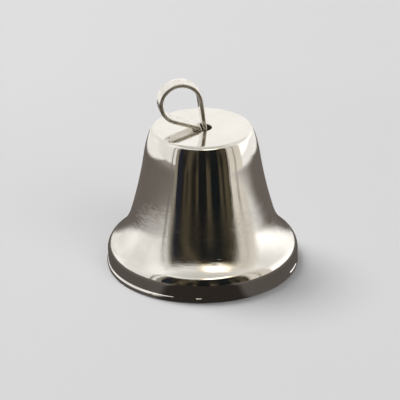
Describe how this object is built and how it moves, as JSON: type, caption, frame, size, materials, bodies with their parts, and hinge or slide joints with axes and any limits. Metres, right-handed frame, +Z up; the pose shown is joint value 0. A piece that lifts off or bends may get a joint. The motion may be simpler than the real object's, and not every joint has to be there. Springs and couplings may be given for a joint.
{
  "type": "craft bell",
  "caption": "Small flared metal craft bell with a bent strip hanger that swivels in its crown and a swinging wire clapper.",
  "frame": {"origin": "centre of the rim on the plane that the bell stands on", "axes": "+Z up along the bell's axis, +X to the right with the hanging eye leaning to the left, +Y to the back"},
  "size_m": [0.026, 0.026, 0.0267],
  "materials": {
    "plated_shell": "bright nickel plate, mirror polished",
    "plated_strip": "bright nickel plate over drawn strip",
    "clapper_wire": "dull nickel plate over drawn wire",
    "clapper_ball": "nickel plate, tumbled"
  },
  "bodies": {
    "bell": {"bell_shell": "plated_shell"},
    "hanger": {"hanger_loop": "plated_strip"},
    "clapper": {"clapper_wire": "clapper_wire", "clapper_ball": "clapper_ball"}
  },
  "joints": [
    {"name": "hanger_swivel", "type": "hinge", "parent": "bell", "child": "hanger", "pos_m": [0, 0, 0.01985], "axis": [0, 0, 1], "continuous": true},
    {"name": "clapper_swing", "type": "hinge", "parent": "hanger", "child": "clapper", "pos_m": [0, 0, 0.01725], "axis": [-0.1736, 0.9848, 0], "range_deg": [-31, 31]}
  ]
}
